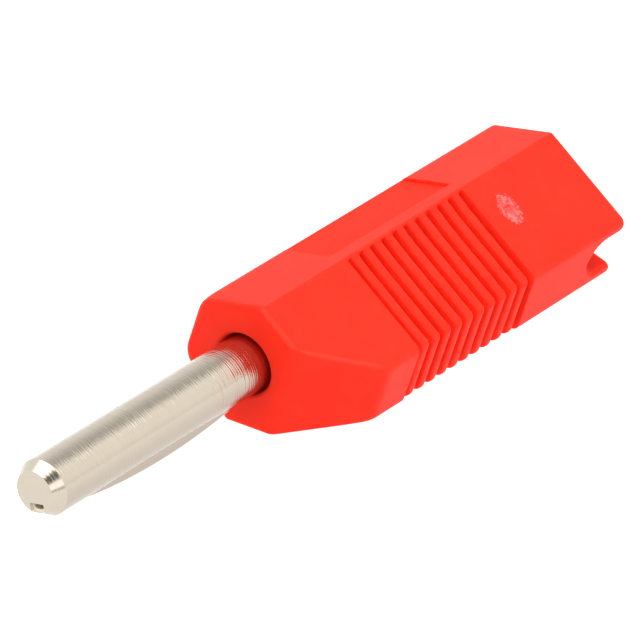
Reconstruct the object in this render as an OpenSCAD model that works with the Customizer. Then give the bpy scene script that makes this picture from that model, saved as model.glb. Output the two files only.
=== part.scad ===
// Stackable 4 mm banana plug: a six-sided moulded sleeve over a one-piece turned contact.
// The plug lies on one wide flat of the sleeve, with the pin towards -X and the socket towards +X.
// The shapes are drawn about the pin axis, with X = 0 on the sleeve's front face and the cable side
// towards -Y, and lie_down() then turns and lifts them onto the flat.

/* [Sleeve] */
// Length of the sleeve, front face to rear face
sleeve_len = 31.5; // [28:0.1:40]
// Width across the two side ridges, level with the pin axis
side_width = 9.75; // [9:0.05:12]
// From the pin axis out to the cable-side flat
cable_side = 7.35; // [6.8:0.05:9]
// Width of the cable-side flat
cable_flat = 4.65; // [4.2:0.05:6]
// From the pin axis out to the back flat
back_side = 4.5; // [4.3:0.05:6]
// Width of the back flat
back_flat = 4.75; // [4:0.05:6]
// Rounding of the long ridges beside the cable-side flat and the back flat
ridge_r = 0.5; // [0.2:0.05:0.9]
// Rounding of the two side ridges, where the mould halves part
side_ridge_r = 0.25; // [0.1:0.05:0.6]
// Bevel round the front face
front_bevel = 0.5; // [0.1:0.05:0.6]
// Bevel round the rear face
rear_bevel = 0.12; // [0.04:0.02:0.4]
// Thickness of the front wall that the contact stops on
front_wall = 3; // [2:0.1:4]

/* [Nose] */
// From the pin axis to the edge between the front face and the nose slope
nose_edge = 3.35; // [2.9:0.05:4.5]
// Length of the nose slope along the axis
nose_len = 5.55; // [3:0.05:7]

/* [Finger ribs] */
// From the front face to the middle of the first groove
groove_start = 9.05; // [7.5:0.05:11]
// Distance from groove to groove
groove_pitch = 1.2; // [1:0.05:1.4]
// Number of grooves
groove_count = 11; // [5:1:12]
// Depth of a groove
groove_depth = 0.58; // [0.3:0.02:0.64]
// Width of a groove at its floor
groove_floor = 0.3; // [0.15:0.01:0.4]
// Width of a groove where the rounding of the ribs begins
groove_throat = 0.52; // [0.42:0.01:0.62]
// Width of a groove at the surface, with the rounding of the ribs
groove_mouth = 0.76; // [0.66:0.02:1]
// Depth of the rounding of the ribs
rib_round = 0.09; // [0.05:0.01:0.18]
// How far the tops of the ribs lie below the flats
rib_sink = 0.1; // [0.02:0.02:0.2]
// Bare border between the grooves' ends and the side ridges
groove_border = 0.3; // [0.25:0.05:1.5]

/* [Label recess] */
// From the front face to the recess
label_start = 8.6; // [6:0.1:12]
// Length of the recess
label_len = 13; // [6:0.1:15]
// Bare border between the recess and the side ridge
label_border = 1.15; // [0.5:0.05:2.5]
// Depth of the recess
label_depth = 0.16; // [0.08:0.02:0.3]

/* [Cable way] */
// Width of the cable channel and of the rear notch
cable_way = 2.7; // [2.6:0.05:3.2]
// Wall between the cable channel and the cable-side flat
cable_wall = 1.1; // [0.8:0.05:1.6]
// Depth of the rear notch
notch_depth = 3.1; // [2.5:0.1:5]
// Bevel of the notch's edge on the cable-side flat
notch_bevel = 0.35; // [0.1:0.05:0.5]

/* [Contact] */
// Diameter of the pin
pin_d = 3.9; // [3.6:0.05:4]
// Length of the pin in front of the sleeve
pin_len = 21; // [20.2:0.1:24]
// Diameter of the flat on the pin's tip
tip_flat = 2.9; // [2.2:0.05:3.3]
// Length of the pin's tip chamfer
tip_len = 0.85; // [0.4:0.05:1.5]
// Diameter of the contact inside the sleeve
body_d = 6.4; // [5.8:0.05:6.6]
// How far the contact's rear end lies inside the sleeve's rear face
rear_inset = 0.2; // [0:0.05:1]
// Diameter of the rear socket
socket_d = 4; // [3.9:0.05:4.2]
// Spare depth of the rear socket behind a pin of the same length
socket_spare = 0.4; // [0.2:0.05:1]
// Bevel of the socket's mouth and the contact's rear rim
rim_bevel = 0.3; // [0.1:0.05:0.5]
// Diameter of the cross hole for the bare conductor
wire_d = 2.4; // [1.6:0.1:2.6]
// From the collar to the middle of the cross hole
wire_back = 3.4; // [3:0.05:4.2]
// How far the cross hole runs past the axis
wire_past = 1.6; // [1.4:0.1:2]
// Radial room round the pin in the front wall
pin_clear = 0.2; // [0.1:0.05:0.3]
// Bevel of the lip round the pin
lip_bevel = 0.3; // [0.1:0.05:0.5]
// Radial room round the contact in the sleeve
body_clear = 0.1; // [0.05:0.05:0.15]

/* [Snap ring] */
// From the rear face to the middle of the ring inside the sleeve
snap_back = 6; // [5:0.1:10]
// Width of the ring's top
snap_w = 1; // [0.6:0.1:2]
// Height of the ring above the bore
snap_h = 0.25; // [0.15:0.05:0.3]

/* [Leaf spring] */
// Width of the leaf
leaf_w = 1; // [0.8:0.05:1.4]
// Thickness of the leaf
leaf_t = 0.25; // [0.2:0.01:0.3]
// How far the crest of the leaf stands proud of the pin
leaf_proud = 0.65; // [0.4:0.05:0.9]
// From the pin's tip back to the leaf's front end
leaf_start = 0.2; // [0.1:0.05:0.6]
// How far the leaf's hooked rear end reaches into the sleeve's front wall
leaf_tail = 1.2; // [0.6:0.1:1.8]
// Length of the leaf's straight front end, inside the groove
leaf_front_run = 2.9; // [2.2:0.1:4]
// Length of the leaf's straight rear end, inside the groove
leaf_rear_run = 2.7; // [2:0.1:4]
// Depth of the groove under the leaf
leaf_groove = 1.2; // [1.1:0.05:1.3]
// Turn of the leaf and its groove from straight below the pin towards the cable side, in degrees
leaf_turn = 10; // [0:1:30]
// Room round the leaf in its groove
leaf_clear = 0.05; // [0.05:0.05:0.2]

/* [Clamp screw] */
// Diameter of the screw
screw_d = 3; // [2.5:0.1:3]
// Length of the screw
screw_len = 2.4; // [2:0.1:2.8]
// How far the screw's slotted end lies below the contact's surface
screw_sink = 0.3; // [0.25:0.05:0.5]
// Width of the screwdriver slot
slot_w = 0.5; // [0.4:0.05:0.7]
// Depth of the screwdriver slot
slot_depth = 0.8; // [0.5:0.05:1]
// Bevel of the screw's ends
screw_bevel = 0.3; // [0.1:0.05:0.4]
// Radial room of the screw in its hole
screw_clear = 0.05; // [0.05:0.05:0.1]

/* [Hidden] */
$fn = 96;
// Extra length that carries every cut clear of the surface it opens
past = 1;

// Corners of the sleeve's section in Y and Z, anticlockwise from the label flat's back edge
corners = [
    [back_side, back_flat / 2],
    [0, side_width / 2],
    [-cable_side, cable_flat / 2],
    [-cable_side, -cable_flat / 2],
    [0, -side_width / 2],
    [back_side, -back_flat / 2]
];
sides = len(corners);

// The six flats, each named by the corner that it starts from
label_side = 0;
upper_grip = 1;
cable_grip = 2;
lower_grip = 3;

function corner(i) = corners[(i + sides) % sides];
function unit(v) = v / norm(v);
function side_dir(i) = unit(corner(i + 1) - corner(i));
function side_out(i) = [side_dir(i)[1], -side_dir(i)[0]];
function side_len(i) = norm(corner(i + 1) - corner(i));
function side_mid(i) = (corner(i) + corner(i + 1)) / 2;
function side_turn(i) = atan2(side_out(i)[1], side_out(i)[0]);

// Rounding of a corner: its radius, half its angle, its setback along the flats and its centre
function ridge(i) = i % 3 == 1 ? side_ridge_r : ridge_r;
function half_angle(i) = acos(-side_dir(i - 1) * side_dir(i)) / 2;
function setback(i) = ridge(i) / tan(half_angle(i));
function round_centre(i) = corner(i) + setback(i) * side_dir(i) - ridge(i) * side_out(i);

// The turn that lays the lower grip flat level, and the box of the plug once it lies there
lie_turn = -90 - side_turn(lower_grip);
lie_height = side_mid(lower_grip) * side_out(lower_grip);
function laid_y(v) = v[0] * cos(lie_turn) - v[1] * sin(lie_turn);
laid_left = min([for (i = [0 : sides - 1]) laid_y(round_centre(i)) - ridge(i)]);
laid_right = max([for (i = [0 : sides - 1]) laid_y(round_centre(i)) + ridge(i)]);
plug_mid = (sleeve_len - pin_len) / 2;

nose_slope = atan2(cable_side - nose_edge, nose_len);
hole_d = pin_d + 2 * pin_clear;
bore_d = body_d + 2 * body_clear;
snap_x = sleeve_len - snap_back;
channel_r = cable_way / 2;
channel_top = cable_side - cable_wall - channel_r;
wire_x = front_wall + wire_back;
channel_start = wire_x - wire_d / 2;
body_end = sleeve_len - rear_inset;
socket_floor = body_end - pin_len - socket_spare;

// The leaf is a bow that stands proud of the pin, with a straight end on each side of it
leaf_front = leaf_start - pin_len;
leaf_bow = leaf_tail - leaf_rear_run - leaf_front - leaf_front_run;
leaf_mid = leaf_front + leaf_front_run + leaf_bow / 2;
leaf_r = (pow(leaf_bow / 2, 2) + pow(leaf_proud, 2)) / (2 * leaf_proud);
leaf_slope = leaf_bow / 2 / (leaf_r - leaf_proud);
leaf_steps = 48;
groove_floor_r = pin_d / 2 - leaf_groove;

// Turns the plug onto its lower grip flat, with the middle of its box over the origin
module lie_down() {
    translate([-plug_mid, -(laid_left + laid_right) / 2, lie_height])
        rotate([lie_turn, 0, 0])
            children();
}

// Places children on flat i: X along the plug, Y outwards, Z along the flat from corner i
module on_side(i) {
    rotate([side_turn(i), 0, 0])
        translate([0, side_mid(i) * side_out(i), side_mid(i) * side_dir(i)])
            children();
}

// Lays a profile drawn as [distance along the axis, radius] round the pin axis
module turned(profile) {
    rotate([0, 90, 0])
        rotate_extrude()
            polygon([for (p = profile) [p[1], p[0]]]);
}

// Section of the sleeve: straight flats joined by round ridges
module section() {
    flats = [
        for (i = [0 : sides - 1])
            each [corner(i) - setback(i) * side_dir(i - 1), corner(i) + setback(i) * side_dir(i)]
    ];
    polygon(flats);
    for (i = [0 : sides - 1])
        translate(round_centre(i)) circle(ridge(i));
}

module sleeve_blank() {
    rotate([90, 0, 90])
        linear_extrude(sleeve_len)
            section();
}

// Slope that runs from the front face out to the cable-side flat
module nose_cut() {
    reach = nose_len + cable_side;
    translate([0, -nose_edge, 0])
        rotate([0, 0, -nose_slope])
            translate([-reach, -reach, -side_width])
                cube([3 * reach, reach, 2 * side_width]);
}

// Bevel of the edge between the front face and the nose slope
module nose_bevel_cut() {
    half_corner = (90 + nose_slope) / 2;
    translate([0, -nose_edge, 0])
        rotate([0, 0, 90 - half_corner])
            translate([-side_width, -side_width, -side_width])
                cube([side_width + front_bevel * cos(half_corner), 2 * side_width, 2 * side_width]);
}

// Bevel of one flat at the front and rear faces
module end_bevel_cut(i) {
    on_side(i)
        linear_extrude(side_len(i) + 2 * past, center = true) {
            polygon([[-past, -front_bevel - past], [front_bevel + past, past], [-past, past]]);
            translate([sleeve_len, 0])
                polygon([[past, -rear_bevel - past], [past, past], [-rear_bevel - past, past]]);
        }
}

// One groove's profile, with the rounding of the ribs on both sides of it
module groove_profile() {
    polygon([
        [-groove_mouth / 2, past],
        [-groove_mouth / 2, -rib_sink],
        [-groove_throat / 2, -rib_sink - rib_round],
        [-groove_floor / 2, -groove_depth],
        [groove_floor / 2, -groove_depth],
        [groove_throat / 2, -rib_sink - rib_round],
        [groove_mouth / 2, -rib_sink],
        [groove_mouth / 2, past]
    ]);
}

// Row of grooves and sunk ribs on flat i, with a border kept bare at the flat's start and end
module groove_row(i, start_border, end_border) {
    run = side_len(i) - start_border - end_border;
    on_side(i)
        translate([groove_start, 0, start_border - side_len(i) / 2]) {
            for (k = [0 : groove_count - 1])
                translate([k * groove_pitch, 0, 0])
                    linear_extrude(run)
                        groove_profile();
            translate([0, -rib_sink, 0])
                cube([(groove_count - 1) * groove_pitch, rib_sink + past, run]);
        }
}

// The grooves run round from one side ridge over the cable side to the other
module finger_grooves() {
    groove_row(upper_grip, groove_border, -groove_depth);
    groove_row(cable_grip, -groove_depth, -groove_depth);
    groove_row(lower_grip, -groove_depth, groove_border);
}

// Shallow recess for a label, open over the back edge of its flat
module label_recess() {
    across = side_len(label_side) - label_border;
    on_side(label_side)
        translate([label_start, -label_depth, -side_len(label_side) / 2 - past])
            cube([label_len, label_depth + past, across + past]);
}

// Hole for the pin, stop face for the collar, and bore with its snap ring
module contact_bore() {
    snap_out = snap_w / 2 + snap_h;
    turned([
        [-past, 0],
        [-past, hole_d / 2 + lip_bevel + past],
        [lip_bevel, hole_d / 2],
        [front_wall, hole_d / 2],
        [front_wall, bore_d / 2],
        [snap_x - snap_out, bore_d / 2],
        [snap_x - snap_w / 2, bore_d / 2 - snap_h],
        [snap_x + snap_w / 2, bore_d / 2 - snap_h],
        [snap_x + snap_out, bore_d / 2],
        [sleeve_len + past, bore_d / 2],
        [sleeve_len + past, 0]
    ]);
}

// Channel beside the contact for the cable, open to the bore and to the rear
module cable_channel() {
    run = sleeve_len + past - channel_start;
    translate([channel_start, 0, 0])
        rotate([90, 0, 90])
            linear_extrude(run) {
                translate([-channel_top, -channel_r]) square([channel_top, cable_way]);
                translate([-channel_top, 0]) circle(channel_r);
            }
}

// Round-ended notch that lets the cable out through the cable-side flat, bevelled where it leaves it
module cable_notch() {
    reach = cable_side + past - channel_top;
    flare = notch_bevel + past;
    translate([sleeve_len - notch_depth + channel_r, -channel_top, 0])
        rotate([90, 0, 0]) {
            linear_extrude(reach) {
                circle(channel_r);
                translate([0, -channel_r]) square([notch_depth, cable_way]);
            }
            translate([0, 0, cable_side - notch_bevel - channel_top]) {
                cylinder(h = flare, r1 = channel_r, r2 = channel_r + flare);
                rotate([90, 0, 90])
                    linear_extrude(notch_depth)
                        polygon([
                            [-channel_r, 0],
                            [channel_r, 0],
                            [channel_r + flare, flare],
                            [-channel_r - flare, flare]
                        ]);
            }
        }
}

module sleeve() {
    color("firebrick")
        lie_down()
            difference() {
                sleeve_blank();
                nose_cut();
                nose_bevel_cut();
                for (i = [0 : sides - 1]) end_bevel_cut(i);
                finger_grooves();
                label_recess();
                contact_bore();
                cable_channel();
                cable_notch();
            }
}

// Outside of the turned contact: chamfered pin, collar and body with the snap groove
module contact_blank() {
    snap_gap = snap_w / 2 + body_clear;
    snap_out = snap_gap + snap_h;
    turned([
        [-pin_len, 0],
        [-pin_len, tip_flat / 2],
        [tip_len - pin_len, pin_d / 2],
        [front_wall, pin_d / 2],
        [front_wall, body_d / 2],
        [snap_x - snap_out, body_d / 2],
        [snap_x - snap_gap, body_d / 2 - snap_h],
        [snap_x + snap_gap, body_d / 2 - snap_h],
        [snap_x + snap_out, body_d / 2],
        [body_end - rim_bevel, body_d / 2],
        [body_end, body_d / 2 - rim_bevel],
        [body_end, 0]
    ]);
}

// Rear socket that takes the pin of another plug
module rear_socket() {
    turned([
        [socket_floor, 0],
        [socket_floor, socket_d / 2],
        [body_end - rim_bevel, socket_d / 2],
        [body_end + past, socket_d / 2 + rim_bevel + past],
        [body_end + past, 0]
    ]);
}

// Cross hole for the conductor, towards the cable side, and the screw's hole square to it
module wire_clamp_holes() {
    translate([wire_x, wire_past, 0])
        rotate([90, 0, 0])
            cylinder(d = wire_d, h = wire_past + body_d / 2 + past);
    translate([wire_x, 0, 0])
        cylinder(d = screw_d + 2 * screw_clear, h = body_d / 2 + past);
}

// Groove along the underside of the pin, open at the tip
module leaf_slot() {
    slot = leaf_w + 2 * leaf_clear;
    rotate([-lie_turn - leaf_turn, 0, 0])
        translate([-pin_len - past, -slot / 2, -pin_d / 2 - past])
            cube([pin_len + past + leaf_tail + leaf_clear, slot, leaf_groove + past]);
}

module contact() {
    color("silver")
        lie_down()
            difference() {
                contact_blank();
                rear_socket();
                wire_clamp_holes();
                leaf_slot();
            }
}

// Outer radius of the leaf at a distance from the middle of its bow
function leaf_outer(u) =
    abs(u) <= leaf_bow / 2
        ? pin_d / 2 + leaf_proud - leaf_r + sqrt(pow(leaf_r, 2) - pow(u, 2))
        : pin_d / 2 - (abs(u) - leaf_bow / 2) * leaf_slope;

// Side view of the leaf: X along the pin, Y outwards, with the hook at its rear end
module leaf_profile() {
    rear = leaf_tail - leaf_mid;
    hook = rear - leaf_t;
    bow = [for (k = [0 : leaf_steps]) (k / leaf_steps - 0.5) * leaf_bow];
    outside = concat([leaf_front - leaf_mid], bow, [rear]);
    inside = concat([leaf_front - leaf_mid], bow, [hook]);
    polygon(concat(
        [for (u = outside) [u, leaf_outer(u)]],
        [[rear, groove_floor_r], [hook, groove_floor_r]],
        [for (k = [len(inside) - 1 : -1 : 0]) [inside[k], leaf_outer(inside[k]) - leaf_t]]
    ));
}

// Bowed strip that lies in the pin's groove and hooks onto its floor behind the front wall
module leaf_spring() {
    color("gainsboro")
        lie_down()
            rotate([-lie_turn - leaf_turn, 0, 0])
                translate([leaf_mid, -leaf_w / 2, 0])
                    rotate([-90, 0, 0])
                        linear_extrude(leaf_w)
                            leaf_profile();
}

// Slotted grub screw that presses on the conductor
module clamp_screw() {
    top = body_d / 2 - screw_sink;
    color("silver")
        lie_down()
            translate([wire_x, 0, top - screw_len])
                difference() {
                    rotate_extrude()
                        polygon([
                            [0, 0],
                            [screw_d / 2 - screw_bevel, 0],
                            [screw_d / 2, screw_bevel],
                            [screw_d / 2, screw_len - screw_bevel],
                            [screw_d / 2 - screw_bevel, screw_len],
                            [0, screw_len]
                        ]);
                    translate([-screw_d, -slot_w / 2, screw_len - slot_depth])
                        cube([2 * screw_d, slot_w, slot_depth + past]);
                }
}

sleeve();
contact();
leaf_spring();
clamp_screw();
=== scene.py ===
import math

import bmesh
import bpy
from mathutils import Matrix, Vector, noise


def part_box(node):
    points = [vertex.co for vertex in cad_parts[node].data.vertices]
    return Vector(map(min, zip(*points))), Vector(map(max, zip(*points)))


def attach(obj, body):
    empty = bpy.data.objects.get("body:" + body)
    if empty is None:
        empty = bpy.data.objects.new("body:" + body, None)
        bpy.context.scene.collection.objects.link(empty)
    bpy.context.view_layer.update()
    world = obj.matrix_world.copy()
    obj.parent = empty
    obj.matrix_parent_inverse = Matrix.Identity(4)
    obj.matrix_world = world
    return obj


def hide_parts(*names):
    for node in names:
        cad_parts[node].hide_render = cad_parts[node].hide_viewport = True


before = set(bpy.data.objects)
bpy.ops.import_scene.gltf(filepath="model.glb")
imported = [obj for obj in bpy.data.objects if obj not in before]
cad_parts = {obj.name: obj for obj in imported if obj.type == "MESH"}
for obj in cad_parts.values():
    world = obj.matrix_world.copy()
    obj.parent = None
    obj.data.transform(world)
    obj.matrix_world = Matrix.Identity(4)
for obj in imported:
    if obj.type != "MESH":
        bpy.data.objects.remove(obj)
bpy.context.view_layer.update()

# A stackable 4 mm banana plug, lying on one wide flat of its grip.
# The pieces follow in the order of assembly: the turned contact, the leaf spring in its slot, the screw
# that clamps the wire, and the moulded sleeve that they are pushed into. Their sizes are in millimetres.


# Camera
# A long lens in front of the pin and above it, on the cable side, held less than a degree off level.
camera_turn = math.radians(-51.95)
camera_rise = math.radians(27.929)
camera_roll = math.radians(-0.677)
camera_away = 0.49006
camera_lens = 423.93
sensor_width = 36
aim_right = 0.000649
aim_up = 0.00536

backward = Vector((
    math.sin(camera_turn) * math.cos(camera_rise),
    -math.cos(camera_turn) * math.cos(camera_rise),
    math.sin(camera_rise),
))
level_right = Vector((math.cos(camera_turn), math.sin(camera_turn), 0))
tripod_tilt = Matrix.Rotation(camera_roll, 3, backward)
camera_right = tripod_tilt @ level_right
camera_up = tripod_tilt @ backward.cross(level_right)
camera_place = aim_right * camera_right + aim_up * camera_up + camera_away * backward

camera = bpy.data.objects.new("camera", bpy.data.cameras.new("camera"))
camera.data.sensor_width = sensor_width
camera.data.lens = camera_lens
camera.matrix_world = (
    Matrix.Translation(camera_place)
    @ Matrix((camera_right, camera_up, backward)).transposed().to_4x4()
)
bpy.context.scene.collection.objects.link(camera)
bpy.context.scene.camera = camera


# Contact
# One piece turned from brass bar and nickel plated: the pin with its chamfered tip, the collar that
# stops on the sleeve's front wall, and a body with the wire's cross hole, the screw's hole and the rear
# socket for another plug. A slot for the leaf spring is milled along the underside of the pin.
pin_r = 1.95
pin_len = 21
tip_flat_r = 1.45
tip_len = 0.85
tip_edge = 0.07
chamfer_rings = 4
chamfer_ring_depth = 0.003
chamfer_round = 0.15
front_wall = 3
collar_round = 0.1
body_r = 3.2
body_end = 31.3
rim_round = 0.3
socket_r = 2
socket_depth = 21.4
snap_middle = 25.5
snap_half = 0.6
snap_depth = 0.25
wire_x = 6.4
wire_r = 1.2
wire_past = 1.6
screw_hole_r = 1.55
slot_half = 0.55
slot_floor = 0.75
slot_edge = 0.05
slot_end = 1.25
slot_turn = 10
around_contact = 160
plating_dark = (0.55, 0.49, 0.403, 1)
plating_light = (0.57, 0.51, 0.42, 1)
# The next colour is painted shade, laid on the pin's underside
plating_painted_shade = (0.445, 0.385, 0.318, 1)
bare_brass = (0.64, 0.57, 0.45, 1)
bare_r = 1.36

# The plug's own frame: X from the sleeve's front face to the rear, Y and Z about the pin's axis
millimetre = 0.001
contact_middle = (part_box("contact")[0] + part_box("contact")[1]) / 2
plug_origin = Vector((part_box("sleeve")[0].x, contact_middle.y, contact_middle.z))
into_place = Matrix.Translation(plug_origin) @ Matrix.Scale(millimetre, 4)

# The sleeve's section leans by this much when the plug lies on its lower grip flat
side_width = 9.75
cable_side = 7.35
cable_flat = 4.65
lie_turn = math.atan2((side_width - cable_flat) / 2, cable_side)
leaning = Matrix.Rotation(lie_turn, 4, "X")


def lofted(name, rings):
    """A closed skin through rings of points, with a flat cap on the first and the last ring."""
    skin = bmesh.new()
    loops = [[skin.verts.new(point) for point in ring] for ring in rings]
    for near, far in zip(loops, loops[1:]):
        for k in range(len(near)):
            skin.faces.new((near[k - 1], near[k], far[k], far[k - 1]))
    skin.faces.new(loops[0])
    skin.faces.new(loops[-1])
    bmesh.ops.recalc_face_normals(skin, faces=skin.faces)
    made = bpy.data.objects.new(name, bpy.data.meshes.new(name))
    skin.to_mesh(made.data)
    skin.free()
    bpy.context.scene.collection.objects.link(made)
    return made


def circle_at(x, radius, count):
    """A ring of points round the pin's axis."""
    turns = [2 * math.pi * k / count for k in range(count)]
    return [Vector((x, radius * math.cos(t), radius * math.sin(t))) for t in turns]


def turned_on_lathe(name, profile, count):
    """A solid of revolution from a profile of (distance along the axis, radius)."""
    return lofted(name, [circle_at(x, radius, count) for x, radius in profile])


def quarter_round(x, radius, from_degrees, to_degrees, size, steps=6):
    """Profile points on an arc of the given size about (x, radius)."""
    swept = to_degrees - from_degrees
    turns = [math.radians(from_degrees + swept * k / steps) for k in range(steps + 1)]
    return [(x + size * math.cos(t), radius + size * math.sin(t)) for t in turns]


def drill(radius, start, end, count=64):
    """A round cutter from one point to another."""
    along = (end - start).normalized()
    across = along.orthogonal().normalized()
    over = along.cross(across)
    turns = [2 * math.pi * k / count for k in range(count)]
    spokes = [radius * (math.cos(t) * across + math.sin(t) * over) for t in turns]
    return lofted("drill", [[start + s for s in spokes], [end + s for s in spokes]])


def carve(piece, cutter):
    """Takes the cutter's shape out of the piece and throws the cutter away."""
    cut = piece.modifiers.new("carve", "BOOLEAN")
    cut.operation = "DIFFERENCE"
    cut.solver = "EXACT"
    cut.object = cutter
    blank = piece.data
    carved = piece.evaluated_get(bpy.context.evaluated_depsgraph_get())
    piece.data = bpy.data.meshes.new_from_object(carved)
    piece.modifiers.clear()
    bpy.data.meshes.remove(blank)
    bpy.data.objects.remove(cutter)


def fit_to_plug(piece, node, finish, crease_degrees, turn=None):
    """Moves a finished shape from millimetres into the plug's place, smooths it and dresses it."""
    piece.data.transform(into_place @ turn if turn else into_place)
    shape = bmesh.new()
    shape.from_mesh(piece.data)
    for face in shape.faces:
        face.smooth = True
        face.material_index = 0
    for edge in shape.edges:
        edge.smooth = edge.is_manifold and edge.calc_face_angle() < math.radians(crease_degrees)
    shape.to_mesh(piece.data)
    shape.free()
    piece.data.materials.clear()
    piece.data.materials.append(finish)
    even = piece.modifiers.new("even shading", "WEIGHTED_NORMAL")
    even.keep_sharp = True
    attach(piece, "root")
    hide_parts(node)


def new_finish(name):
    """An empty procedural material: the material, its node tree and its surface shader."""
    finish = bpy.data.materials.new(name)
    finish.use_nodes = True
    return finish, finish.node_tree, finish.node_tree.nodes["Principled BSDF"]


def add(tree, kind, inputs, **settings):
    """Adds a node, sets its options, and links or sets each of the inputs named."""
    made = tree.nodes.new("ShaderNode" + kind)
    for name, value in settings.items():
        setattr(made, name, value)
    for name, value in inputs.items():
        if isinstance(value, bpy.types.NodeSocket):
            tree.links.new(value, made.inputs[name])
        else:
            made.inputs[name].default_value = value
    return made


def ramp(tree, factor, stops):
    """A colour ramp with stops of (position, colour)."""
    made = add(tree, "ValToRGB", {"Fac": factor})
    while len(made.color_ramp.elements) < len(stops):
        made.color_ramp.elements.new(1)
    for element, (position, colour) in zip(made.color_ramp.elements, stops):
        element.position = position
        element.color = colour
    return made.outputs["Color"]


def spread(tree, factor, low, high):
    """Spreads a factor from 0 to 1 over the values from low to high."""
    return add(tree, "MapRange", {"Value": factor, "To Min": low, "To Max": high}).outputs["Result"]


def plug_place(tree):
    """The surface point in millimetres, in the plug's own frame."""
    point = add(tree, "TexCoord", {}).outputs["Object"]
    per_metre = 1 / millimetre
    return add(tree, "Mapping", {
        "Vector": point,
        "Location": -plug_origin * per_metre,
        "Scale": (per_metre, per_metre, per_metre),
    }).outputs["Vector"]


def roughen(tree, shader, height, depth_mm, strength):
    """Gives the shader a bump of the height, which runs from 0 to 1."""
    bump = add(tree, "Bump", {"Height": height, "Distance": depth_mm * millimetre, "Strength": strength})
    tree.links.new(bump.outputs["Normal"], shader.inputs["Normal"])


def nickel_plating(name, lines_along):
    """Bright warm nickel with fine tool lines, round a turned piece or along a rolled strip."""
    finish, tree, shader = new_finish(name)
    place = plug_place(tree)
    off_axis = add(tree, "VectorMath", {0: place, 1: (0, 1, 1)}, operation="MULTIPLY").outputs[0]
    radius = add(tree, "VectorMath", {0: off_axis}, operation="LENGTH").outputs["Value"]
    along = add(tree, "SeparateXYZ", {0: place}).outputs["X"]
    if lines_along:
        path = add(tree, "VectorMath", {0: place, 1: (0.5, 22, 22)}, operation="MULTIPLY").outputs[0]
    else:
        feed = add(tree, "Math", {0: along, 1: radius}, operation="ADD").outputs[0]
        slow = add(tree, "VectorMath", {0: place, 1: (0, 0.3, 0.3)}, operation="MULTIPLY").outputs[0]
        fast = add(tree, "CombineXYZ", {"X": feed}).outputs[0]
        path = add(
            tree, "VectorMath", {0: fast, 1: (8, 8, 8), 2: slow}, operation="MULTIPLY_ADD",
        ).outputs[0]
    lines = add(tree, "TexNoise", {
        "Vector": path, "Scale": 1, "Detail": 2, "Roughness": 0.6,
    }).outputs["Fac"]
    if not lines_along:
        feed_marks = add(tree, "TexWave", {
            "Vector": path, "Scale": 0.19, "Distortion": 6, "Detail": 2, "Detail Scale": 1,
        }).outputs["Fac"]
        lines = add(tree, "Mix", {"Factor": 0.2, "A": lines, "B": feed_marks}).outputs["Result"]
    plated = ramp(tree, lines, [(0.3, plating_dark), (0.7, plating_light)])
    # Painted shade: the underside of the pin is painted a duller, darker nickel, standing in for the
    # shadowed floor it reflects
    on_pin = add(tree, "Math", {0: along, 1: tip_len - pin_len}, operation="GREATER_THAN").outputs[0]
    underneath = add(
        tree, "VectorMath", {0: place, 1: (0, -0.65, -0.76)}, operation="DOT_PRODUCT",
    ).outputs["Value"]
    painted_light_share = add(tree, "MapRange", {
        "Value": underneath, "From Min": 0.3, "From Max": 1.9, "To Max": on_pin,
    }).outputs["Result"]
    shaded_plating = add(
        tree, "Mix", {"Factor": painted_light_share, "A": plated, "B": plating_painted_shade}, data_type="RGBA",
    ).outputs["Result"]
    # The plating is thin down in the slot, where the dull brass shows through
    inside = add(tree, "Math", {0: radius, 1: bare_r}, operation="LESS_THAN").outputs[0]
    behind_tip = add(tree, "Math", {0: along, 1: 0.02 - pin_len}, operation="GREATER_THAN").outputs[0]
    bare = add(tree, "Math", {0: inside, 1: behind_tip}, operation="MULTIPLY").outputs[0]
    colour = add(tree, "Mix", {"Factor": bare, "A": shaded_plating, "B": bare_brass}, data_type="RGBA")
    tree.links.new(colour.outputs["Result"], shader.inputs["Base Color"])
    tree.links.new(spread(tree, lines, 0.12, 0.20), shader.inputs["Roughness"])
    tree.links.new(spread(tree, bare, 1, 0.2), shader.inputs["Metallic"])
    # The lines stretch the gloss across their own direction
    round_axis = add(tree, "Tangent", {}, direction_type="RADIAL", axis="X").outputs["Tangent"]
    tree.links.new(round_axis, shader.inputs["Tangent"])
    shader.inputs["Anisotropic"].default_value = 0.5
    shader.inputs["Anisotropic Rotation"].default_value = 0 if lines_along else 0.25
    # The chamfer was cut with a finer feed, and so was the pin's end at the sleeve
    pin_marks = add(tree, "MapRange", {
        "Value": along, "From Min": -5, "From Max": -1, "To Min": 0.8, "To Max": 0.6,
    }).outputs["Result"]
    line_depth = 0.011 if lines_along else 0.027
    roughen(tree, shader, lines, line_depth, spread(tree, on_pin, 0.25, pin_marks))
    return finish


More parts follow.
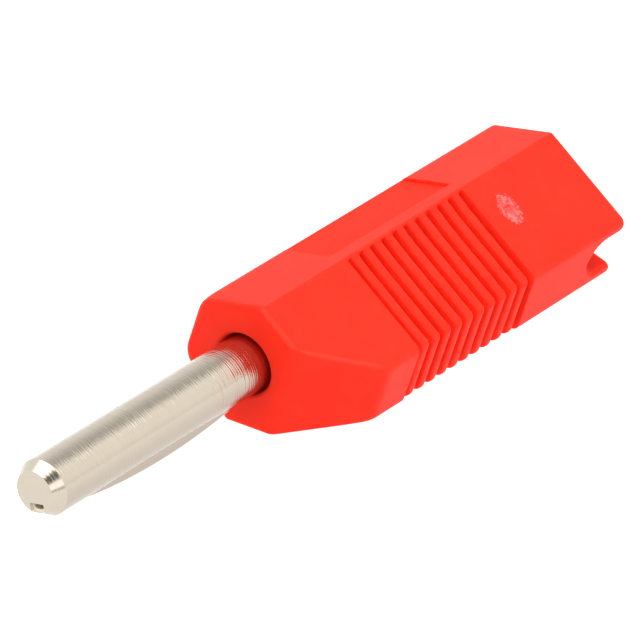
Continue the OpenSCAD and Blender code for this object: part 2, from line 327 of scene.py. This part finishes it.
tip_flank = Vector((tip_len, pin_r - tip_flat_r))
tip_normal = Vector((-tip_flank.y, tip_flank.x)).normalized()
ring_points = 10 * chamfer_rings
chamfer_turn = math.degrees(math.atan2(tip_normal.y, tip_normal.x))
chamfer_end = 1 - chamfer_round * math.tan(math.radians(chamfer_turn - 90) / 2) / tip_flank.length
tip_profile = []
for k in range(1, ring_points):
    share = chamfer_end * k / ring_points
    sunk = chamfer_ring_depth * (0.5 - 0.5 * math.cos(2 * math.pi * chamfer_rings * k / ring_points))
    point = Vector((-pin_len, tip_flat_r)) + share * tip_flank - sunk * tip_normal
    tip_profile.append((point.x, point.y))
chamfer_stop = tip_len - pin_len + chamfer_round * math.tan(math.radians(chamfer_turn - 90) / 2)
snap_start = snap_middle - snap_half - snap_depth
snap_stop = snap_middle + snap_half + snap_depth
socket_floor = body_end - socket_depth
contact_profile = [
    (-pin_len, tip_flat_r - tip_edge),
    (-pin_len + 0.25 * tip_edge, tip_flat_r - 0.3 * tip_edge),
    *tip_profile,
    *quarter_round(chamfer_stop, pin_r - chamfer_round, chamfer_turn, 90, chamfer_round),
    (front_wall - collar_round, pin_r),
    (front_wall, pin_r + collar_round),
    *quarter_round(front_wall + collar_round, body_r - collar_round, 180, 90, collar_round),
    (snap_start, body_r),
    (snap_start + snap_depth, body_r - snap_depth),
    (snap_stop - snap_depth, body_r - snap_depth),
    (snap_stop, body_r),
    *quarter_round(body_end - rim_round, body_r - rim_round, 90, 0, rim_round),
    *quarter_round(body_end - rim_round, socket_r + rim_round, 0, -90, rim_round),
    (socket_floor, socket_r),
]
contact = turned_on_lathe("contact", contact_profile, around_contact)

slot_mouth = math.sqrt(pin_r**2 - slot_half**2)
slot_section = [
    (slot_half - slot_edge, -slot_floor),
    (slot_half, -slot_floor - slot_edge),
    (slot_half, -slot_mouth + slot_edge),
    (slot_half + slot_edge, -slot_mouth + 0.2 * slot_edge),
    (slot_half + 2 * slot_edge, -pin_r - slot_edge),
]
slot_section += [(-y, z) for y, z in reversed(slot_section)]
slot_ends = (-pin_len - 1, slot_end)
slot_lean = Matrix.Rotation(math.radians(-slot_turn), 4, "X")
slot_rings = [[slot_lean @ Vector((x, y, z)) for y, z in slot_section] for x in slot_ends]
carve(contact, lofted("slot cutter", slot_rings))
wire_inner = leaning @ Vector((wire_x, wire_past, 0))
wire_outer = leaning @ Vector((wire_x, -body_r - 1, 0))
carve(contact, drill(wire_r, wire_inner, wire_outer))
screw_outer = leaning @ Vector((wire_x, 0, body_r + 1))
carve(contact, drill(screw_hole_r, Vector((wire_x, 0, 0)), screw_outer))
turned_nickel = nickel_plating("turned nickel", False)
fit_to_plug(contact, "contact", turned_nickel, 30)


# Leaf spring
# A strip of spring bronze, rolled, plated and bowed, that lies in the pin's slot. Its hooked rear end is
# held behind the sleeve's front wall, its bow stands proud of the pin, and its front end slides.
leaf_half = 0.54
leaf_t = 0.25
leaf_proud = 0.75
leaf_start = 0.2
leaf_tail = 1.2
leaf_front_run = 2.9
leaf_rear_run = 1.9
leaf_edge = 0.25
leaf_end_arch = 0.55
leaf_steps = 90
leaf_lines = 24
hook_round = 0.3

leaf_front = leaf_start - pin_len
leaf_bow = leaf_tail - leaf_rear_run - leaf_front - leaf_front_run
leaf_middle = leaf_front + leaf_front_run + leaf_bow / 2
leaf_bow_r = ((leaf_bow / 2) ** 2 + leaf_proud**2) / (2 * leaf_proud)
leaf_slope = leaf_bow / 2 / (leaf_bow_r - leaf_proud)


def leaf_depth(x):
    """Distance from the pin's axis out to the leaf's outer face."""
    off = abs(x - leaf_middle)
    if off > leaf_bow / 2:
        return pin_r - (off - leaf_bow / 2) * leaf_slope
    return pin_r + leaf_proud - leaf_bow_r + math.sqrt(leaf_bow_r**2 - off**2)


hook_x = leaf_tail - leaf_t / 2
flat_end = hook_x - hook_round
hook_top = leaf_depth(flat_end) - leaf_t / 2
leaf_path = []
for k in range(leaf_steps + 1):
    x = leaf_front + (flat_end - leaf_front) * k / leaf_steps
    leaf_path.append(Vector((x, leaf_depth(x) - leaf_t / 2)))
for k in range(1, 7):
    bend = math.radians(15 * k)
    leaf_path.append(Vector((
        flat_end + hook_round * math.sin(bend),
        hook_top - hook_round * (1 - math.cos(bend)),
    )))
leaf_path.append(Vector((hook_x, slot_floor)))


def leaf_section(arch):
    """The strip's section: an arch with full shoulders, thinner towards its edges."""
    half = leaf_half - leaf_edge * leaf_t / 2
    middle = []
    for k in range(leaf_lines + 1):
        t = math.pi * k / leaf_lines
        y = math.copysign(abs(math.cos(t)) ** (2 / 3), math.cos(t))
        middle.append(Vector((half * y, arch * (math.sin(t) ** (2 / 3) - 1))))
    outer, inner = [], []
    for k, point in enumerate(middle):
        along = (middle[min(k + 1, leaf_lines)] - middle[max(k - 1, 0)]).normalized()
        thick = leaf_edge + (1 - leaf_edge) * math.sin(math.pi * k / leaf_lines)
        out = thick * leaf_t / 2 * Vector((along.y, -along.x))
        outer.append(point + out)
        inner.append(point - out)
    return outer + inner[::-1]


def ease(low, high, value):
    """Rises smoothly from 0 at low to 1 at high."""
    share = min(1, max(0, (value - low) / (high - low)))
    return share * share * (3 - 2 * share)


leaf_rings = []
for k, point in enumerate(leaf_path):
    before = leaf_path[max(k - 1, 0)]
    after = leaf_path[min(k + 1, len(leaf_path) - 1)]
    along = (after - before).normalized()
    out = Vector((-along.y, along.x))
    end_arch = leaf_end_arch * (1 - 0.8 * ease(-3, 0, point.x))
    arch = max(end_arch, point.y + leaf_t / 2 - slot_mouth)
    leaf_rings.append([
        Vector((point.x + n * out.x, y, -(point.y + n * out.y))) for y, n in leaf_section(arch)
    ])
leaf_spring = lofted("leaf_spring", leaf_rings)
rolled_nickel = nickel_plating("rolled nickel", True)
fit_to_plug(leaf_spring, "leaf_spring", rolled_nickel, 40, slot_lean)


# Clamp screw
# A short slotted grub screw of zinc-plated steel. It is turned into its threaded hole in the contact and
# presses the bare wire down in the cross hole.
screw_r = 1.5
screw_len = 2.4
screw_top = 2.9
screw_bevel = 0.3
thread_pitch = 0.5
thread_depth = 0.24
around_screw = 64
screw_rings = 72
driver_slot_half = 0.25
driver_slot_depth = 0.8
zinc_dark = (0.42, 0.43, 0.45, 1)
zinc_light = (0.60, 0.61, 0.62, 1)

rings = []
for k in range(screw_rings + 1):
    height = screw_len * k / screw_rings
    from_end = min(height, screw_len - height)
    ring = []
    for j in range(around_screw):
        turn = j / around_screw
        flank = abs(((height / thread_pitch - turn) % 1) * 2 - 1)
        radius = screw_r - thread_depth * min(1, 1.25 * flank)
        radius = min(radius, screw_r - screw_bevel + from_end)
        angle = 2 * math.pi * turn
        base = screw_top - screw_len + height
        ring.append(Vector((wire_x + radius * math.cos(angle), radius * math.sin(angle), base)))
    rings.append(ring)
clamp_screw = lofted("clamp_screw", rings)
slot_corners = [(-1, -1), (1, -1), (1, 1), (-1, 1)]
driver_slot = [
    [Vector((wire_x + 2 * screw_r * a, driver_slot_half * b, z)) for a, b in slot_corners]
    for z in (screw_top - driver_slot_depth, screw_top + 1)
]
carve(clamp_screw, lofted("driver slot cutter", driver_slot))

zinc, tree, shader = new_finish("zinc plating")
place = plug_place(tree)
bloom = add(tree, "TexNoise", {"Vector": place, "Scale": 3, "Detail": 4}).outputs["Fac"]
zinc_colour = ramp(tree, bloom, [(0.35, zinc_dark), (0.65, zinc_light)])
tree.links.new(zinc_colour, shader.inputs["Base Color"])
tree.links.new(spread(tree, bloom, 0.25, 0.45), shader.inputs["Roughness"])
shader.inputs["Metallic"].default_value = 1
roughen(tree, shader, bloom, 0.01, 0.3)
fit_to_plug(clamp_screw, "clamp_screw", zinc, 35, leaning)


# Sleeve
# One satin red moulding with six flats and rounded edges. The nose slopes out to the cable side, finger
# ribs run round three flats, a label recess lies on the fourth, and the gate has left a pale scar. The
# contact is pushed in from the rear until the sleeve's snap ring holds it.
sleeve_len = 31.5
back_side = 4.5
back_flat = 4.75
nose_edge = 3.35
nose_len = 5.55
nose_blend = 0.35
ridge_round = (0.8, 0.26, 0.55, 0.55, 0.26, 0.9)
nose_ridge = 0.28
back_swell = 1
back_swell_run = 1.4
front_round = 0.4
rear_round = 0.14
nose_round = 1.5
arc_steps = 7

groove_start = 9.05
groove_pitch = 1.2
groove_count = 11
groove_depth = 0.58
groove_floor = 0.15
groove_throat = 0.27
rib_sink = 0.09
rib_sink_run = 1.8
rib_crown = 0.07
groove_border = 0.12
groove_run_in = 0.22

label_start = 8.6
label_len = 13
label_border = 1.15
label_depth = 0.22
label_wall = 0.06

gate_x = 23.6
gate_across = 2.93
gate_half_len = 0.8
gate_half_across = 1.2
gate_depth = 0.03

red_dark = (0.72, 0.020, 0.007, 1)
red_light = (0.76, 0.025, 0.009, 1)
red_speck = (0.9, 0.12, 0.09, 1)
red_recess = (0.72, 0.020, 0.006, 1)
# The next colour is a painted highlight, laid on the sleeve's front edges and upper grip flat
red_painted_highlight = (0.79, 0.046, 0.024, 1)
red_torn = (0.92, 0.25, 0.26, 1)

corners = [
    Vector((back_side, back_flat / 2)),
    Vector((0, side_width / 2)),
    Vector((-cable_side, cable_flat / 2)),
]
corners += [Vector((y, -z)) for y, z in reversed(corners)]
sides = len(corners)
label_side, upper_grip, cable_grip, lower_grip = range(4)
flat_along = [(corners[(i + 1) % sides] - corners[i]).normalized() for i in range(sides)]
flat_out = [Vector((along.y, -along.x)) for along in flat_along]
flat_reach = [flat_out[i].dot(corners[i]) for i in range(sides)]
corner_half = [math.acos(-flat_along[i - 1].dot(flat_along[i])) / 2 for i in range(sides)]


def end_inset(x):
    """How far the rounding of the front and rear edges draws the section in."""
    from_end, size = (x, front_round) if x < sleeve_len / 2 else (sleeve_len - x, rear_round)
    left = max(0, size - from_end)
    return size - math.sqrt(size**2 - left**2)


def cable_reach(x):
    """Distance of the cable-side flat from the axis, with the nose slope and its blended ends."""
    rise = (cable_side - nose_edge) / nose_len
    slope = nose_edge + rise * x
    blend = max(0, 1 - abs(slope - cable_side) / nose_blend)
    reach = min(slope, cable_side) - blend**2 * nose_blend / 4
    tilt = math.atan(rise)
    if x < nose_round * (1 - math.sin(tilt)):
        level = nose_edge + rise * nose_round - nose_round / math.cos(tilt)
        reach = level + math.sqrt(nose_round**2 - (nose_round - x) ** 2)
    return reach


def rib_cut(x, sink):
    """Depth of the finger ribs' surface below the flats, where the ribs' tops are sunk by so much."""
    row = (x - groove_start) / groove_pitch
    nearest = min(groove_count - 1, max(0, round(row)))
    off = abs(row - nearest) * groove_pitch
    wall = 1 - ease(groove_floor, groove_throat, off)
    if row < 0 or row > groove_count - 1:
        return groove_depth * wall
    share = max(0, groove_pitch / 2 - off) / (groove_pitch / 2 - groove_throat)
    shoulder = sink + rib_crown * min(1, share) ** 3
    return shoulder + (groove_depth - sink - rib_crown) * wall


def gate_scar(x, across):
    """Depth of the torn gate mark on the upper grip flat."""
    u = (x - gate_x) / gate_half_len
    v = (across - gate_across) / gate_half_across
    from_middle = math.hypot(u, v)
    if from_middle > 1.5:
        return 0
    torn = noise.noise(Vector((5 * x, 5 * across, 0)))
    torn += 0.4 * noise.noise(Vector((9 * x, 9 * across, 3)))
    ring = math.exp(-((from_middle - 1) / 0.22) ** 2)
    dish = 1 - ease(0.55, 1.05, from_middle)
    return gate_depth * (dish * (0.7 + 0.9 * torn) + 0.5 * ring * (0.4 + torn))


def dressed(x, point, out, deepest=groove_depth):
    """A point of the plain section, moved in by the ribs, the label recess and the gate mark."""
    above = Vector((point.x, abs(point.y)))
    from_ridge = (above - corners[1]).dot(flat_along[upper_grip])
    sink = rib_sink * ease(groove_border, groove_border + rib_sink_run, from_ridge)
    cut = rib_cut(x, sink) * ease(groove_border, groove_border + groove_run_in, from_ridge)
    point = point - out * min(cut, deepest)
    across = (point - corners[1]).dot(-flat_along[label_side])
    in_label = ease(label_border, label_border + label_wall, across)
    in_label *= ease(label_start, label_start + label_wall, x)
    in_label *= 1 - ease(label_start + label_len - label_wall, label_start + label_len, x)
    above_floor = flat_out[label_side].dot(point) - flat_reach[label_side] + label_depth * in_label
    point = point - flat_out[label_side] * max(0, above_floor)
    if out == flat_out[upper_grip]:
        point = point - out * gate_scar(x, from_ridge)
    return Vector((x, point.x, point.y))


def spaced(start, end, count):
    """Evenly spaced values from start to end."""
    return [start + (end - start) * k / count for k in range(count + 1)]


# Lines across each flat, as shares of its straight run, set closer where a recess or a scar needs them
label_run = (corners[1] - corners[0]).length
label_edge = (label_run - label_border) / label_run
grip_lines = [0.003 * k for k in range(1, 11)] + spaced(0.06, 0.26, 4)
grip_lines += spaced(0.27, 0.46, 22) + spaced(0.5, 0.95, 9)
flat_lines = [
    spaced(0.1, 0.7, 6) + spaced(label_edge - 0.04, label_edge + 0.04, 14) + [0.9, 0.95],
    grip_lines,
    spaced(0.08, 0.92, 12),
    [1 - share for share in reversed(grip_lines)],
    [0.25, 0.5, 0.75],
    [0.25, 0.5, 0.75],
]


def sleeve_ring(x):
    """The sleeve's outline at a distance from its front face."""
    inset = end_inset(x)
    reach = [r - inset for r in flat_reach]
    reach[cable_grip] = cable_reach(x) - (inset if x > nose_len else 0)
    radius = [max(0.1, r - 0.6 * inset) for r in ridge_round]
    on_nose = 1 - ease(nose_len - 1.5, nose_len + 0.6, x)
    for i in (cable_grip, lower_grip):
        radius[i] += (nose_ridge - ridge_round[i]) * on_nose
    for i in (label_side, sides - 1):
        radius[i] += back_swell * max(0, 1 - x / back_swell_run) ** 2
    setback = [radius[i] / math.tan(corner_half[i]) for i in range(sides)]
    sharp = []
    for i in range(sides):
        before, after = flat_out[i - 1], flat_out[i]
        area = before.x * after.y - before.y * after.x
        sharp.append(Vector((
            (reach[i - 1] * after.y - reach[i] * before.y) / area,
            (before.x * reach[i] - after.x * reach[i - 1]) / area,
        )))
    ring = []
    for i in range(sides):
        first = sharp[i] + setback[i] * flat_along[i]
        last = sharp[(i + 1) % sides] - setback[(i + 1) % sides] * flat_along[i]
        middle = first - radius[i] * flat_out[i]
        for k in range(arc_steps + 1):
            out = flat_out[i - 1].slerp(flat_out[i], k / arc_steps)
            ring.append(dressed(x, middle + radius[i] * out, out, radius[i] - 0.03))
        for share in flat_lines[i]:
            ring.append(dressed(x, first.lerp(last, share), flat_out[i]))
    return ring


# Stations along the sleeve, set closer at the grooves, the recess walls, the scar and the rounded ends
groove_offsets = [0, 0.08, 0.15, 0.165, 0.18, 0.195, 0.21, 0.225]
groove_offsets += [0.24, 0.255, 0.27, 0.3, 0.34, 0.39, 0.45, 0.52]
stations = [front_round * (1 - math.cos(math.pi / 2 * k / 12)) for k in range(13)]
stations += spaced(0.8, 8.4, 28)
stations += [
    groove_start + k * groove_pitch + side * off
    for k in range(groove_count)
    for off in groove_offsets + [groove_pitch / 2]
    for side in (-1, 1)
]
for wall_x in (label_start, label_start + label_len - label_wall):
    stations += spaced(wall_x - 0.02, wall_x + label_wall + 0.02, 6)
stations += spaced(gate_x - 1.2, gate_x + 1.2, 40) + spaced(25.6, 30.8, 12)
stations += [sleeve_len - rear_round * (1 - math.cos(math.pi / 2 * k / 6)) for k in range(7)]
stations.sort()
closest = 0.008
kept_stations = [stations[0]]
for x in stations[1:]:
    if x - kept_stations[-1] > closest:
        kept_stations.append(x)
sleeve = lofted("sleeve", [sleeve_ring(x) for x in kept_stations])

# The hole for the pin with its rounded lip, the stop face, the bore with its snap ring, and its mouth
hole_r = 2.15
lip_round = 0.3
bore_r = 3.3
ring_middle = 25.5
ring_half = 0.5
ring_height = 0.25
mouth_round = 0.14
bore_profile = [
    (-1, hole_r + 0.95 * lip_round),
    *quarter_round(lip_round, hole_r + lip_round, 195, 270, lip_round, 8),
    (front_wall, hole_r),
    (front_wall, bore_r),
    (ring_middle - ring_half - ring_height, bore_r),
    (ring_middle - ring_half, bore_r - ring_height),
    (ring_middle + ring_half, bore_r - ring_height),
    (ring_middle + ring_half + ring_height, bore_r),
    *quarter_round(sleeve_len - mouth_round, bore_r + mouth_round, 270, 345, mouth_round, 6),
    (sleeve_len + 1, bore_r + 0.95 * mouth_round),
]
carve(sleeve, turned_on_lathe("bore cutter", bore_profile, 128))

# The cable's channel beside the bore, and the round-ended notch that lets the cable out sideways
channel_r = 1.35
channel_start = 5.2
channel_top = 4.9
notch_depth = 3.1
notch_round = 0.38
notch_flare = 0.4
notch_middle = sleeve_len - notch_depth + channel_r
half_turn = [math.pi * (0.5 + k / 24) for k in range(25)]


def channel_outline(grow, top):
    """The channel's section in Y and Z: straight walls and, unless it is open there, a round top."""
    wall = channel_r + grow
    if top is None:
        return [(0, -wall), (0, wall), (-2 * cable_side, wall), (-2 * cable_side, -wall)]
    bend = [(-top + wall * math.cos(t), wall * math.sin(t)) for t in half_turn]
    return [(0, -wall), (0, wall)] + bend


def notch_outline(grow):
    """The notch's outline in X and Z, open to the rear."""
    wall = channel_r + grow
    bend = [(notch_middle + wall * math.cos(t), wall * math.sin(t)) for t in half_turn]
    flare = quarter_round(sleeve_len - notch_flare, wall + notch_flare, 270, 345, notch_flare)
    flare.append((sleeve_len + 1, flare[-1][1]))
    return bend + [(x, -z) for x, z in flare] + flare[::-1]


def mouth_steps(depth):
    """Pairs of depth below a face and widening there, for a rounded edge of the given size."""
    turns = [math.radians(15 * k) for k in range(6)]
    return [(depth * (1 - math.sin(t)), depth * (1 - math.cos(t))) for t in turns]


channel_ends = (channel_start, sleeve_len + 1)
channel_section = channel_outline(0, channel_top)
channel_cut = [[Vector((x, y, z)) for y, z in channel_section] for x in channel_ends]
carve(sleeve, lofted("channel cutter", channel_cut))
notch = [(3.5, 0.001)] + [(cable_side - depth, grow + 0.001) for depth, grow in mouth_steps(notch_round)]
notch.append((cable_side + 1, notch[-1][1]))
notch_cut = [[Vector((x, -y, z)) for x, z in notch_outline(grow)] for y, grow in notch]
carve(sleeve, lofted("notch cutter", notch_cut))
mouth = [(sleeve_len - depth, grow) for depth, grow in mouth_steps(mouth_round)]
mouth.append((sleeve_len + 1, mouth[-1][1]))
mouth_cut = [[Vector((x, y, z)) for y, z in channel_outline(grow, None)] for x, grow in mouth]
carve(sleeve, lofted("mouth cutter", mouth_cut))

red, tree, shader = new_finish("red moulding")
place = plug_place(tree)
grain = add(tree, "TexNoise", {
    "Vector": place, "Scale": 7, "Detail": 5, "Roughness": 0.6,
}).outputs["Fac"]
flow = add(tree, "TexNoise", {"Vector": place, "Scale": 0.35, "Detail": 2}).outputs["Fac"]
speck = add(tree, "TexVoronoi", {"Vector": place, "Scale": 1.6}).outputs["Distance"]
plain_red = ramp(tree, flow, [(0.3, red_dark), (0.7, red_light)])
dust = ramp(tree, speck, [(0.0, (1, 1, 1, 1)), (0.045, (0, 0, 0, 1))])
dusty = add(
    tree, "Mix", {"Factor": dust, "A": plain_red, "B": red_speck}, data_type="RGBA",
).outputs["Result"]

# The floor of the label recess is a shade deeper and duller
lean = Matrix.Rotation(lie_turn, 2)
label_out = lean @ flat_out[label_side]
label_height = add(
    tree, "VectorMath", {0: place, 1: (0, label_out.x, label_out.y)}, operation="DOT_PRODUCT",
).outputs["Value"]
floor_reach = flat_reach[label_side] - label_depth
on_floor = add(
    tree, "Math", {0: label_height, 1: floor_reach, 2: label_depth / 2}, operation="COMPARE",
).outputs[0]
along = add(tree, "SeparateXYZ", {0: place}).outputs["X"]
between_walls = add(
    tree, "Math", {0: along, 1: label_start + label_len / 2, 2: label_len / 2}, operation="COMPARE",
).outputs[0]
in_recess = add(tree, "Math", {0: on_floor, 1: between_walls}, operation="MULTIPLY").outputs[0]
deeper = add(
    tree, "Mix", {"Factor": in_recess, "A": dusty, "B": red_recess}, data_type="RGBA",
).outputs["Result"]

# Painted highlight: the edges round the upper grip flat's front end are painted lighter, and the flat
# itself slightly, standing in for the sheen of light on them
grip_out = lean @ flat_out[upper_grip]
cable_out = lean @ flat_out[cable_grip]
nose_rise = (cable_side - nose_edge) / nose_len
nose_cos = math.cos(math.atan(nose_rise))
off_front = (1, -grip_out.x, -grip_out.y)
off_nose = (
    nose_rise * nose_cos,
    -grip_out.x - cable_out.x * nose_cos,
    -grip_out.y - cable_out.y * nose_cos,
)
off_grip = (0, -grip_out.x, -grip_out.y)
# Each painted highlight: the direction down from it, its reach from the axis, the depths in millimetres
# where the highlight starts to fade and ends, and the highlight's share
painted_highlights = [
    (off_front, flat_reach[upper_grip], 0.2, 0.4, 1),
    (off_nose, flat_reach[upper_grip] + nose_edge * nose_cos, 0.1, 0.25, 1),
    (off_grip, flat_reach[upper_grip], 0.12, 0.35, 0.25),
]
painted_light_share = 0
for direction, reach, near_mm, far_mm, peak_share in painted_highlights:
    below = add(tree, "VectorMath", {0: place, 1: direction}, operation="DOT_PRODUCT").outputs["Value"]
    highlight_share = add(tree, "MapRange", {
        "Value": below,
        "From Min": near_mm - reach,
        "From Max": far_mm - reach,
        "To Min": peak_share,
        "To Max": 0,
    }, interpolation_type="SMOOTHSTEP").outputs["Result"]
    painted_light_share = add(tree, "Math", {0: highlight_share, 1: painted_light_share}, operation="MAXIMUM").outputs[0]
lighter = add(
    tree, "Mix", {"Factor": painted_light_share, "A": deeper, "B": red_painted_highlight}, data_type="RGBA",
).outputs["Result"]

# The gate scar: a pale torn oval, placed on the upper grip flat
gate_point = lean @ (corners[1] + gate_across * flat_along[upper_grip])
gate_along = lean @ flat_along[upper_grip]
gate_middle = (gate_x, gate_point.x, gate_point.y)
from_gate = add(tree, "VectorMath", {0: place, 1: gate_middle}, operation="SUBTRACT").outputs[0]
gate_axes = {
    "X": (1 / gate_half_len, 0, 0),
    "Y": (0, gate_along.x / gate_half_across, gate_along.y / gate_half_across),
    "Z": (0, grip_out.x, grip_out.y),
}
gate_offsets = {
    name: add(tree, "VectorMath", {0: from_gate, 1: axis}, operation="DOT_PRODUCT").outputs["Value"]
    for name, axis in gate_axes.items()
}
gate_oval = add(tree, "CombineXYZ", gate_offsets).outputs[0]
gate_far = add(tree, "VectorMath", {0: gate_oval}, operation="LENGTH").outputs["Value"]
torn = add(tree, "TexNoise", {
    "Vector": place, "Scale": 5, "Detail": 4, "Roughness": 0.7,
}).outputs["Fac"]
torn_shift = spread(tree, torn, -0.8, 0.8)
gate_rough = add(tree, "Math", {0: gate_far, 1: torn_shift}, operation="ADD").outputs[0]
gate_rim = ramp(tree, gate_rough, [
    (0.2, (0.25, 0.25, 0.25, 1)),
    (0.62, (0.75, 0.75, 0.75, 1)),
    (0.9, (0.75, 0.75, 0.75, 1)),
    (1.0, (0, 0, 0, 1)),
])
flecks = add(tree, "TexNoise", {
    "Vector": place, "Scale": 3.2, "Detail": 3, "Roughness": 0.7,
}).outputs["Fac"]
flecked = ramp(tree, flecks, [(0.41, (0.12, 0.12, 0.12, 1)), (0.58, (1, 1, 1, 1))])
gate_pale = add(tree, "Math", {0: gate_rim, 1: flecked}, operation="MULTIPLY").outputs[0]
scarred = add(
    tree, "Mix", {"Factor": gate_pale, "A": lighter, "B": red_torn}, data_type="RGBA",
).outputs["Result"]
tree.links.new(scarred, shader.inputs["Base Color"])
satin = spread(tree, grain, 0.36, 0.50)
duller = add(tree, "Math", {0: in_recess, 1: 0.15, 2: satin}, operation="MULTIPLY_ADD").outputs[0]
tree.links.new(duller, shader.inputs["Roughness"])
shader.inputs["Specular IOR Level"].default_value = 0.07
shader.inputs["Subsurface Weight"].default_value = 0.8
shader.inputs["Subsurface Radius"].default_value = (1, 0.08, 0.04)
shader.inputs["Subsurface Scale"].default_value = 1.6 * millimetre
roughen(tree, shader, grain, 0.02, 0.25)
fit_to_plug(sleeve, "sleeve", red, 48, leaning)


# Studio
# A lit table of white acrylic under a light tent. The tent's wall is bright overhead and on the cable side
# and greyer on the far side, and bright cards and dark cards hang in it.
floor_r = 1.5
floor_t = 0.01
floor_gap = 0.00002
floor_glow = 1.06
tent_light = 1.33

floor_turns = [math.pi * k / 48 for k in range(96)]
floor = lofted("floor", [
    [Vector((floor_r * math.cos(t), floor_r * math.sin(t), z)) for t in floor_turns]
    for z in (-floor_t, -floor_gap)
])
acrylic, tree, shader = new_finish("lit white acrylic")
table_place = add(tree, "TexCoord", {}).outputs["Object"]
haze = add(tree, "TexNoise", {"Vector": table_place, "Scale": 40}).outputs["Fac"]
acrylic_colour = ramp(tree, haze, [(0.3, (0.14, 0.14, 0.14, 1)), (0.7, (0.16, 0.16, 0.16, 1))])
glow = ramp(tree, haze, [(0.3, (0.98, 0.98, 0.98, 1)), (0.7, (1, 1, 1, 1))])
tree.links.new(acrylic_colour, shader.inputs["Base Color"])
tree.links.new(glow, shader.inputs["Emission Color"])
shader.inputs["Emission Strength"].default_value = floor_glow
shader.inputs["Roughness"].default_value = 0.8
floor.data.materials.append(acrylic)

room = bpy.data.worlds.new("light tent")
room.use_nodes = True
bpy.context.scene.world = room
tree = room.node_tree
sky = add(tree, "TexCoord", {}).outputs["Generated"]
towards = add(tree, "SeparateXYZ", {0: sky})
overhead = add(
    tree, "Math", {0: towards.outputs["Z"], 1: towards.outputs["Y"]}, operation="ARCTAN2",
).outputs[0]
around = add(tree, "Math", {0: overhead, 1: math.pi}, operation="DIVIDE").outputs[0]
behind = add(tree, "Math", {0: towards.outputs["X"], 1: 0.35}, operation="MAXIMUM").outputs[0]
past_plug = add(tree, "Math", {0: behind, 1: 0.35}, operation="SUBTRACT").outputs[0]
slanted = add(tree, "Math", {0: past_plug, 1: -0.4, 2: around}, operation="MULTIPLY_ADD").outputs[0]
tent = ramp(tree, slanted, [
    (0.0, (0.80, 0.80, 0.81, 1)),
    (0.09, (0.75, 0.75, 0.76, 1)),
    (0.22, (0.61, 0.61, 0.61, 1)),
    (0.30, (0.48, 0.48, 0.48, 1)),
    (0.40, (0.45, 0.45, 0.44, 1)),
    (0.44, (1, 0.99, 0.97, 1)),
    (0.75, (1, 0.99, 0.97, 1)),
    (0.86, (0.93, 0.92, 0.91, 1)),
])


def card(direction, inner_degrees, outer_degrees):
    """1 within a cone of directions, falling to 0 outside it."""
    facing = add(
        tree, "VectorMath", {0: sky, 1: Vector(direction).normalized()}, operation="DOT_PRODUCT",
    ).outputs["Value"]
    return add(tree, "MapRange", {
        "Value": facing,
        "From Min": math.cos(math.radians(outer_degrees)),
        "From Max": math.cos(math.radians(inner_degrees)),
    }, interpolation_type="SMOOTHSTEP").outputs["Result"]


# Each card: where it hangs from the plug, the angles where it starts to fade and ends, and its brightness
cards = [
    ((0.1, 0.85, 0.5), 24, 38, 0.95),
    ((-0.15, 0.29, 0.945), 17, 33, 2.0),
    ((-0.6, -0.35, 0.72), 10, 24, 3.4),
    ((0.2, -0.45, 0.87), 8, 18, 2.2),
    ((-0.28, -0.89, 0.36), 9, 16, 1.4),
    ((-0.25, -0.97, 0.07), 4, 8, 0.5),
    ((-0.28, -0.53, 0.80), 9, 22, 0.1),
]
lit = tent
for direction, inner_degrees, outer_degrees, level in cards:
    on_card = card(direction, inner_degrees, outer_degrees)
    lit = add(
        tree, "Mix", {"Factor": on_card, "A": lit, "B": (level, level, level, 1)}, data_type="RGBA",
    ).outputs["Result"]
tree.links.new(lit, tree.nodes["Background"].inputs["Color"])
tree.nodes["Background"].inputs["Strength"].default_value = tent_light
bpy.context.scene.view_settings.view_transform = "Standard"
